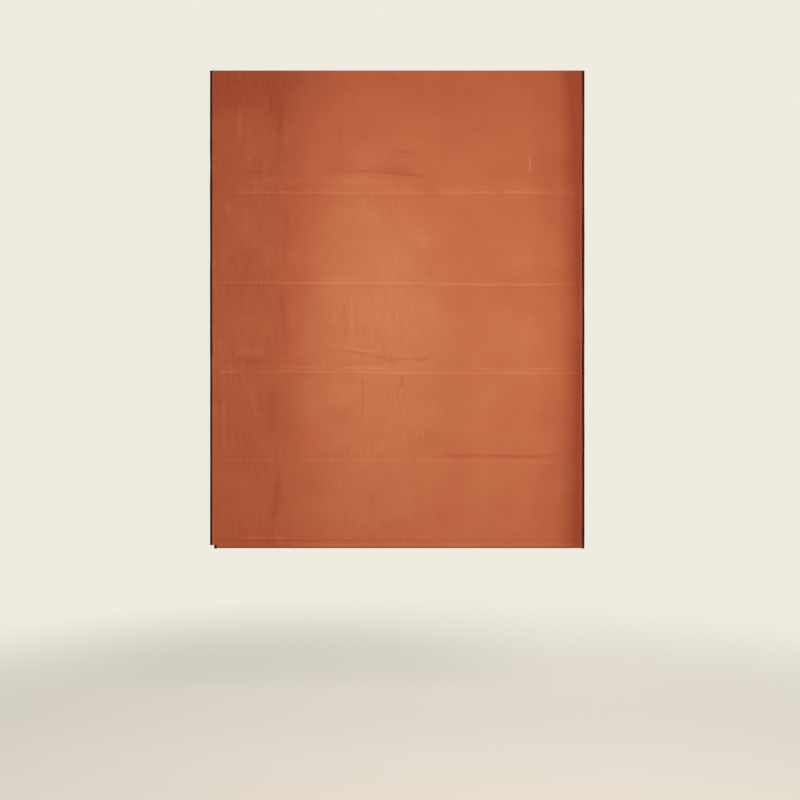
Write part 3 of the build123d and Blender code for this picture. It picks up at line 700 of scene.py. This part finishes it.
hem_back = bar_out[0] - clearance - velvet
# Beyond the bar's ends the tube is cut away up to these heights
left_cut = (bar_across[0], hem_bottom + 8.5)
right_cut = (bar_across[1], hem_bottom + 2.7)
# The stitches run this far below the hem's top, which lies a hair below the cloth above it
seam_drop = 2.8
hem_gap = 0.15
# Low front, top front where the cloth above comes down, top back and low back
hem_radii = (2.6, 0.7, 2.6, 2.6)
stops = sorted([left_cut[1], *np.linspace(hem_bottom + 4.5, hem_top - seam_drop, 6)])
hem_out, hem_up = rounded_outline(hem_back, velvet_front, hem_bottom, hem_top - hem_gap, hem_radii, stops)
along_out, along_up = np.roll(hem_out, -1) - np.roll(hem_out, 1), np.roll(hem_up, -1) - np.roll(hem_up, 1)
run_length = np.hypot(along_out, along_up)
hem_across = np.unique([*columns, left_cut[0], right_cut[0]])[:, None]
level = (hem_up - hem_bottom) / (hem_top - hem_bottom)
fullness = np.sin(np.clip(level, 0, 1) * math.pi) * (0.55 + 0.35 * hills(hem_across / 140, 0.5, 61))
swell = fullness + 0.12 * (1 + hills(hem_across / 11, level * 2, 62)) * np.clip(level, 0, 1)
swell = swell * step(velvet_half - np.abs(hem_across), 6, 18) * (along_up < 0)
hem_places = (
    hem_across,
    hem_out - swell * along_up / run_length,
    hem_up + swell * along_out / run_length,
)
mid_across = (hem_across[:-1] + hem_across[1:]) / 2
mid_up = (hem_up + np.roll(hem_up, -1)) / 2
cut_away = (mid_across < left_cut[0]) & (mid_up < left_cut[1])
cut_away = cut_away | ((mid_across > right_cut[0]) & (mid_up < right_cut[1]))
on_hem = hem_across + 0 * hem_up, hem_up + 0 * hem_across
hem_shade_tone = shading_and_tone(*on_hem)
# A painted highlight along the hem's swell
hem_shade_tone = hem_shade_tone + 0.12 * bell(level - 0.4, 0.12) * (0.7 + 0.5 * hills(hem_across / 60, 0.2, 63))
# Painted shade on the hem's rounded underside
hem_shade_tone = hem_shade_tone - 0.36 * bell(level - 0.06, 0.13)
hem_marks = {"shade_tone": hem_shade_tone, "handled": handling(*on_hem)}
hem = surface("hem_velvet", *hem_places, ring=True, keep=~cut_away, marks=hem_marks)
settle(thicken(hem, velvet, -1))
place(hem, "bottom_bar_body", velvet_cloth)

# %% Stitch the hem
def stitches(name, across, out, up, length, thickness):
    """A row of stitches. One is a short six-sided thread that bows out in its middle, given as the place
    along it, its girth and its bow at five rings. The others repeat it, with each stitch's place added
    to its points."""
    along = np.array([-0.5, -0.38, 0, 0.38, 0.5]) * length
    girth = np.array([0.15, 0.8, 1.0, 0.8, 0.15]) * thickness / 2
    bow = np.array([-0.4, 0, 0.35, 0, -0.4]) * thickness
    sides, rings = 6, len(along)
    turn = np.arange(sides) * 2 * math.pi / sides
    one_across = np.repeat(along, sides)
    one_out = (girth[:, None] * np.cos(turn) - bow[:, None]).ravel()
    one_up = (girth[:, None] * np.sin(turn)).ravel()
    one = np.stack((one_across, -one_out, one_up), axis=-1)
    grid = np.arange(rings * sides).reshape(rings, sides)
    ring = np.hstack((grid, grid[:, :1]))
    places = np.stack(np.broadcast_arrays(across, -out, up), axis=-1)
    points = (places[:, None, :] + one).reshape(-1, 3) * mm
    shift = grid.size * np.arange(len(places))[:, None, None]
    faces = (quads(ring) + shift).reshape(-1, 4).tolist()
    faces += (grid[0, ::-1] + shift[:, 0]).tolist() + (grid[-1] + shift[:, 0]).tolist()
    return settle(piece_of(name, points, faces), smooth=75)


# A row in matching thread closes the tube, on the swelling front, 3 mm to a stitch
on_back = hem_out < velvet_front - 0.1
seam_column = int(np.argmin(np.abs(hem_up - (hem_top - seam_drop)) + 9 * on_back))
seam_across = np.arange(-velvet_half + 12, velvet_half - 10, 3.0)
seam_out = np.interp(seam_across, hem_places[0][:, 0], hem_places[1][:, seam_column])
seam_up = np.interp(seam_across, hem_places[0][:, 0], hem_places[2][:, seam_column])
sunk = 0.12
hem_seam = stitches("hem_seam", seam_across, seam_out - sunk, seam_up, 2.3, 0.42)
place(hem_seam, "bottom_bar_body", rust_thread)

# %% [markdown]
# ## The lining and its dark edges
# The lining is one sheet behind the velvet that turns round each side and lies 6 mm wide on the face. Sewn
# by machine and pressed, that edge is never quite straight: its fold wanders by half a millimetre and its
# inner edge by one. The sheet is a path across the blind, carried up through the rows, and thickened to
# both sides.

# %% Build the lining
band_width = 6.5
fold_radius = (band_middle - lining_middle) / 2
fold_centre = (band_middle + lining_middle) / 2
half_width = lining_across[1]


def side_turn(side, up):
    """From the band's inner edge out to the fold and round it to the back: a straight run that swells a
    little, then a half circle. The fold and the inner edge wander along the height."""
    seed = 70 + side
    fold = half_width - lining / 2 - 0.35 * (1 + hills(up / 60, 0.3, seed))
    fold = fold - 0.1 * (1 + hills(up / 17, 0.3, seed + 5))
    inner = half_width - band_width + 0.8 * hills(up / 45, 0.6, seed + 10)
    inner = inner + 0.3 * hills(up / 13, 0.6, seed + 15)
    run = np.linspace(0, 1, 7)
    turn = np.linspace(0, math.pi, 9)[1:]
    start = fold - fold_radius
    run_across = inner[:, None] + (start - inner)[:, None] * run
    swell = (0.25 + 0.15 * hills(up / 22, 0.9, seed + 20))[:, None]
    run_out = band_middle + swell * np.sin(math.pi * run) * run
    turn_across = start[:, None] + fold_radius * np.sin(turn)
    turn_out = fold_centre + fold_radius * np.cos(turn) + 0 * up[:, None]
    return side * np.hstack((run_across, turn_across)), np.hstack((run_out, turn_out))


# The sheet ends above the hem, and only its two bands go on down to the hem's top
lining_foot = hem_top + 3.0
lining_heights = np.concatenate(([hem_top], np.linspace(lining_foot, lining_up[1], 208)))
left_across, left_out = side_turn(-1, lining_heights)
right_across, right_out = side_turn(1, lining_heights)
span = np.linspace(0, 1, 122)[1:-1]
back_across = left_across[:, -1:] + (right_across[:, -1:] - left_across[:, -1:]) * span
back_up = lining_heights[:, None] + 0 * back_across
# Between the rail, the ribs and the hem the sheet sags by up to 3 mm and is drawn into faint upright pulls
bounds = np.array([0.0, *rib_heights, hem_top])
below = np.min([np.where(back_up < top, top - back_up, 999) for top in bounds], axis=0)
above = np.min([np.where(back_up > low, back_up - low, 999) for low in bounds], axis=0)
sag = 3.0 * step(above, 52, 130) * step(below, 22, 90)
sag = sag * (0.7 + 0.3 * hills(back_across / 150, back_up / 90, 81))
pulls = 0.45 * hills(back_across / 14, back_up / 160, 82) + 0.6 * hills(back_across / 33, back_up / 70, 83)
free = step(above, 50, 90) * step(below, 20, 50)
sag = (sag + pulls * free) * step(half_width - np.abs(back_across), 4, 40)
lining_across_all = np.hstack((left_across, back_across, right_across[:, ::-1]))
lining_out_all = np.hstack((left_out, lining_middle - sag, right_out[:, ::-1]))
keep = np.ones((len(lining_heights) - 1, lining_across_all.shape[1] - 1), bool)
band_columns = 9
keep[0, band_columns:-band_columns] = False
back_sheet = surface("lining_sateen", lining_across_all, lining_out_all, lining_heights[:, None], keep=keep)
settle(thicken(back_sheet, lining, 0))
place(back_sheet, "headrail_body", sateen, ("lining_cloth",))

# %% [markdown]
# ## The dark edges of the hem
# At the hem the band goes on to the cut corners, over the thicker tube. It is stitched to the hem, so these
# two short strips ride on the bar as well.

# %% Build the hem's edges
# Each strip goes round the fold by four steps of its half circle, then straight back along the hem's side
turned = 11
side_depth = 3.2
for side, name, lowest in ((-1, "hem_edge_left", left_cut[1]), (1, "hem_edge_right", right_cut[1])):
    strip_up = np.linspace(lowest, hem_top, 8)
    strip_across, strip_out = side_turn(side, strip_up)
    strip_across = np.hstack((strip_across[:, :turned], strip_across[:, turned - 1 : turned]))
    strip_out = np.hstack((strip_out[:, :turned], strip_out[:, turned - 1 : turned] - side_depth))
    strip = surface(name, strip_across, strip_out, strip_up[:, None])
    settle(thicken(strip, lining, 0))
    place(strip, "bottom_bar_body", sateen)

# %% [markdown]
# ## Rib pockets and their stitches
# Each rib is a rod in a pocket of stout tape, folded round it and sewn to the lining by its tail. Seen from
# behind it is a drop-shaped tube. The outline of that drop is carried across the blind, back again as the
# bore inside, and joined at both ends, so the tape has a wall and the rod shows in its mouth.

# %% Build the pockets
pocket_across = reach("rib_pocket_1")[0]
pocket_radius = 2.9
pocket_bore = 2.3
tail_height = 9.0
tail_thickness = 1.0


def drop_outline(rib):
    """From the foot of the tail round the rod and up the tail's back, then over its top and down."""
    meet = math.acos((pocket_radius - tail_thickness) / pocket_radius)
    turn = np.linspace(0, -(2 * math.pi - meet), 24)
    tail_out = rod_out + pocket_radius
    rise = rib_heights[rib] + np.array([4.2, 6.6, 8.7, tail_height, tail_height, 8.7, 6.0, 3.0])
    tail = tail_out - np.array([1, 1, 1, 0.8, 0.2, 0, 0, 0]) * tail_thickness
    outline_out = np.concatenate((rod_out + pocket_radius * np.cos(turn), tail))
    outline_up = np.concatenate((rib_heights[rib] + pocket_radius * np.sin(turn), rise))
    bore = np.linspace(0, -2 * math.pi, len(outline_out), endpoint=False)
    bore_out, bore_up = rod_out + pocket_bore * np.cos(bore), rib_heights[rib] + pocket_bore * np.sin(bore)
    return outline_out, outline_up, bore_out, bore_up


# The tape hangs a little loose, but not where an eye is clipped round it
eye_places = (-350, 0, 350)
for rib in range(len(rib_heights)):
    outline_out, outline_up, bore_out, bore_up = drop_outline(rib)
    outside = np.linspace(*pocket_across, 190)[:, None]
    inside = np.linspace(pocket_across[1], pocket_across[0], 24)[:, None]
    clip_free = np.min([step(np.abs(outside - eye), 6, 20) for eye in eye_places], axis=0)
    loose = clip_free * 0.12 * (1 + hills(outside / 9, outline_up / 3, 91 + rib))
    away = np.hypot(outline_out - rod_out, outline_up - rib_heights[rib])
    shape_out = outline_out + loose * np.minimum(outline_out - rod_out, 0) / away
    shape_up = outline_up + loose * (outline_up - rib_heights[rib]) / away
    pocket = surface(
        f"pocket_tape_{rib + 1}",
        np.vstack((outside, inside)),
        np.vstack((shape_out, bore_out + 0 * inside)),
        np.vstack((shape_up, bore_up + 0 * inside)),
        ring=True,
        loop=True,
    )
    settle(pocket)
    place(pocket, f"rib_{rib + 1}_body", pocket_tape, (f"rib_pocket_{rib + 1}",))

# %% Stitch the pockets
for rib in range(len(rib_heights)):
    stitch_across = np.arange(pocket_across[0] + 4, pocket_across[1] - 3, 3.4)
    row_up = rib_heights[rib] + 6.9 + 0.15 * hills(stitch_across / 30, 0.2, 95 + rib)
    row_out = rod_out + pocket_radius - tail_thickness - 0.05 + 0 * stitch_across
    row = stitches(f"pocket_seam_{rib + 1}", stitch_across, row_out, row_up, 2.7, 0.45)
    place(row, f"rib_{rib + 1}_body", brown_thread)

# %% [markdown]
# ## Hook and loop tape
# The cloth is not nailed to the rail: a tape of small hooks is glued to the rail and one of loops is sewn
# to the lining, so the blind can be taken down and washed. Both are flat nylon tapes with a firm edge. A
# rounded outline swept across is enough, because the cloth covers them.

# %% Build the tapes
for name in ("hook_tape", "loop_tape"):
    across, out, up = reach(name)
    side_stops = list(np.linspace(up[0] + 2, up[1] - 2, 7))
    edge = (out[1] - out[0]) / 2 - 0.05
    tape_out, tape_up = rounded_outline(*out, *up, 4 * (edge,), side_stops)
    tape_across = np.linspace(*across, 120)[:, None]
    tape = surface(f"{name}_cloth", tape_across, tape_out, tape_up, ring=True, caps=True)
    settle(tape)
    place(tape, "headrail_body", nylon_tape, (name,))

# %% [markdown]
# ## Finishes of the hard parts
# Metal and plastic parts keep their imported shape, and each gets the finish of the real material:
# powder-coated aluminium for the rail and bar, painted steel for the brackets, zinc-plated steel for the
# shaft, moulded plastics for caps, spools and eyes, and a drawn glass-fibre rod. Object coordinates are in
# metres, so each pattern's scale is one over its real size.

# %% Powder coat and plastics
def coated(name, colour, shade, grain, depth, roughness, **more):
    """A smooth coat or moulding: a slow change of shade, and a fine grain that roughens it and catches
    light. The grain is a noise as wide as the real texture, in metres."""
    material, tree, place_on = blank(name)
    slow = add(tree, "TexNoise", Vector=place_on, Scale=1 / 0.03, Detail=3.0, Roughness=0.5)
    fine = add(tree, "TexNoise", Vector=place_on, Scale=1 / grain, Detail=2.0, Roughness=0.5)
    tint = add(tree, "Mix", colours, _0=slow.outputs["Fac"], _6=linear(colour), _7=linear(shade))
    low, high = roughness - 0.05, roughness + 0.07
    rough = add(tree, "MapRange", _0=slow.outputs["Fac"], _1=0.3, _2=0.7, _3=low, _4=high)
    bump = add(tree, "Bump", Height=fine.outputs["Fac"], Strength=0.5, Distance=depth)
    shader = add(
        tree,
        "BsdfPrincipled",
        Base_Color=tint.outputs[2],
        Roughness=rough.outputs[0],
        Normal=bump.outputs[0],
        **more,
    )
    finish(tree, shader)
    return material


# Powder coat levels into an orange peel about 1.5 mm wide and a few hundredths deep
powder_coat = coated(
    "powder_coated_aluminium", "#EFEDE6", "#E4E1D8", 0.0015, 0.00006, 0.36, Coat_Weight=0.15
)
bar_coat = coated("powder_coated_bar", "#EAE7DF", "#DEDACF", 0.0015, 0.00006, 0.4, Coat_Weight=0.1)
painted_steel = coated("painted_steel", "#E9E7E1", "#DAD7CE", 0.001, 0.00004, 0.32, Coat_Weight=0.25)
# A spark-eroded mould leaves a satin grain of about half a millimetre on nylon and acetal
white_nylon = coated("white_nylon", "#ECEAE3", "#E0DDD3", 0.0006, 0.00004, 0.42, Subsurface_Weight=0.06)
brown_abs = coated("dark_brown_abs", "#24110A", "#190B06", 0.0006, 0.00004, 0.6, Specular_IOR_Level=0.2)
print("coats and plastics made")

# %% Zinc plate, glass fibre and clear plastic
# Drawn and plated steel: drawing lines run along the bar, shown 1 mm wide and 40 mm long, with a 6 mm spangle
zinc_steel, tree, place_on = blank("zinc_plated_steel")
along_bar = add(tree, "Mapping", Vector=place_on, Scale=(1 / 0.04, 1 / 0.001, 1 / 0.001))
lines = add(tree, "TexNoise", Vector=along_bar.outputs[0], Scale=1.0, Detail=3.0, Roughness=0.6)
spangle = add(tree, "TexNoise", Vector=place_on, Scale=1 / 0.006, Detail=2.0, Roughness=0.5)
zinc = add(tree, "Mix", colours, _0=spangle.outputs["Fac"], _6=linear("#A9ABAC"), _7=linear("#CDCFD0"))
zinc_rough = add(tree, "MapRange", _0=lines.outputs["Fac"], _1=0.2, _2=0.8, _3=0.22, _4=0.42)
zinc_bump = add(tree, "Bump", Height=lines.outputs["Fac"], Strength=0.4, Distance=0.00005)
shader = add(
    tree,
    "BsdfPrincipled",
    Base_Color=zinc.outputs[2],
    Metallic=1.0,
    Roughness=zinc_rough.outputs[0],
    Normal=zinc_bump.outputs[0],
)
finish(tree, shader)

# Pultruded glass fibre: off-white resin with bundles of glass along the rod, 0.4 mm wide and 56 mm long
glass_fibre, tree, place_on = blank("glass_fibre_rod")
along_rod = add(tree, "Mapping", Vector=place_on, Scale=(18.0, 1 / 0.0004, 1 / 0.0004))
bundles = add(tree, "TexNoise", Vector=along_rod.outputs[0], Scale=1.0, Detail=2.0, Roughness=0.5)
resin = add(tree, "Mix", colours, _0=bundles.outputs["Fac"], _6=linear("#D9D2B8"), _7=linear("#F1EDDD"))
rod_bump = add(tree, "Bump", Height=bundles.outputs["Fac"], Strength=0.3, Distance=0.00005)
shader = add(
    tree,
    "BsdfPrincipled",
    Base_Color=resin.outputs[2],
    Roughness=0.32,
    IOR=1.52,
    Subsurface_Weight=0.15,
    Normal=rod_bump.outputs[0],
)
finish(tree, shader)

# Clear polycarbonate, IOR 1.585, with faint flow marks from moulding
clear_plastic, tree, place_on = blank("clear_polycarbonate")
flow = add(tree, "TexNoise", Vector=place_on, Scale=1 / 0.003, Detail=2.0, Roughness=0.5)
flow_bump = add(tree, "Bump", Height=flow.outputs["Fac"], Strength=0.2, Distance=0.00008)
shader = add(
    tree,
    "BsdfPrincipled",
    Base_Color=linear("#F2F4F2"),
    Roughness=0.12,
    IOR=1.585,
    Transmission_Weight=0.85,
    Normal=flow_bump.outputs[0],
)
finish(tree, shader)
print("zinc, glass fibre and clear plastic made")

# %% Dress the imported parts
finishes = {
    "velvet": velvet_cloth,
    "lining": sateen,
    "pocket": pocket_tape,
    "tape": nylon_tape,
    "white_rail": powder_coat,
    "white_bar": bar_coat,
    "white_steel": painted_steel,
    "white_plastic": white_nylon,
    "dark_plastic": brown_abs,
    "zinc_steel": zinc_steel,
    "fibreglass": glass_fibre,
    "clear_plastic": clear_plastic,
}
for part in frame["record"]["subparts"]:
    node = frame["nodes"][part["node"]]
    node.data.materials.clear()
    node.data.materials.append(finishes[part["material_slot"]])

# %% [markdown]
# ## The hanging cloth
# The blind's real pleats are not modelled. The face cloth and the lining each get a mesh of their own.

# %% Give each hanging cloth a mesh of its own
for piece in (face, back_sheet):
    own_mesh(piece)

# %% [markdown]
# ## Camera, light and floor
# The camera stands three metres off, level and square to the cloth, which keeps upright lines upright. It
# stands a little below the middle of the blind, so the blind hangs in the upper half of the picture. The
# lamps are large and soft, and as strong as makes a colour come out about as it is written. The background
# is pale only to the camera and to reflections, and dimmer where it lights the cloth.

# %% Camera
# Its height and its lens set the blind's place and its size in the picture
camera = bpy.data.objects.new("camera", bpy.data.cameras.new("camera"))
camera.location = (0.0073, -3.0423, -0.8608)
camera.rotation_euler = (math.radians(90), 0, 0)
camera.data.lens = 50.6
bpy.context.collection.objects.link(camera)
bpy.context.scene.camera = camera
print("camera at", tuple(round(value, 3) for value in camera.location))

# %% Lamps
def soft_lamp(name, at, aim, size, power, colour):
    """A square area lamp at one place, facing another."""
    lamp = bpy.data.objects.new(name, bpy.data.lights.new(name, "AREA"))
    lamp.data.size = size
    lamp.data.energy = power
    lamp.data.color = linear(colour)[:3]
    lamp.location = at
    toward = np.array(aim) - np.array(at)
    lamp.rotation_euler = (
        math.atan2(math.hypot(toward[0], toward[1]), -toward[2]),
        0,
        math.atan2(toward[1], toward[0]) - math.pi / 2,
    )
    bpy.context.collection.objects.link(lamp)
    print(f"{name} lamp: {power} W over {size} m")


soft_lamp("key", (0.9, -2.9, 0.3), (0.1, 0, -0.65), 1.4, 57, "#FFF7EC")
soft_lamp("fill", (-2.2, -2.4, -0.3), (0, 0, -0.7), 1.6, 11, "#F3F6FF")
soft_lamp("back", (0.6, 2.6, 0.9), (0, 0, -0.5), 1.6, 45, "#FFFFFF")
bpy.context.scene.view_settings.view_transform = "Standard"

# %% Floor and background
floor_height = cad_box[0][2] - 0.55
floor_radius = 2.6
rim_start, rim_end = 1.1, 2.5
turn = np.linspace(0, 2 * math.pi, 96, endpoint=False)
circle = np.stack((np.cos(turn), np.sin(turn), 0 * turn), axis=-1) * floor_radius
floor = piece_of("floor", circle + (0, 0, floor_height), [list(range(len(turn)))])

# The floor is pale matt plaster that thins out to nothing at its rim, so no horizon cuts behind the blind
plaster, tree, place_on = blank("pale_plaster")
level = add(tree, "VectorMath", {"operation": "MULTIPLY"}, _0=place_on, _1=(1.0, 1.0, 0.0)).outputs[0]
radius = add(tree, "VectorMath", {"operation": "LENGTH"}, _0=level).outputs["Value"]
smooth = {"interpolation_type": "SMOOTHSTEP"}
rim = add(tree, "MapRange", smooth, _0=radius, _1=rim_start, _2=rim_end, _3=0.0, _4=1.0)
matt = add(tree, "BsdfPrincipled", Base_Color=linear("#F7F3EA"), Roughness=0.9, Specular_IOR_Level=0.2)
gone = add(tree, "BsdfTransparent")
finish(tree, add(tree, "MixShader", _0=rim.outputs[0], _1=matt.outputs[0], _2=gone.outputs[0]))
floor.data.materials.append(plaster)
print(f"floor at {floor_height:.2f} m")

# %% World
world = bpy.data.worlds.new("studio")
bpy.context.scene.world = world
world.use_nodes = True
world.node_tree.nodes.clear()
tree = world.node_tree
rays = add(tree, "LightPath")
seen = rays.outputs["Is Camera Ray"]
for ray in ("Is Glossy Ray", "Is Transmission Ray"):
    seen = add(tree, "Math", {"operation": "MAXIMUM"}, _0=seen, _1=rays.outputs[ray]).outputs[0]
pale = add(tree, "Background", Color=linear("#EFEBE0"), Strength=1.0)
soft = add(tree, "Background", Color=linear("#F4F2EE"), Strength=0.4)
sky = add(tree, "MixShader", _0=seen, _1=soft.outputs[0], _2=pale.outputs[0])
add(tree, "OutputWorld", Surface=sky.outputs[0])
print("stage ready")
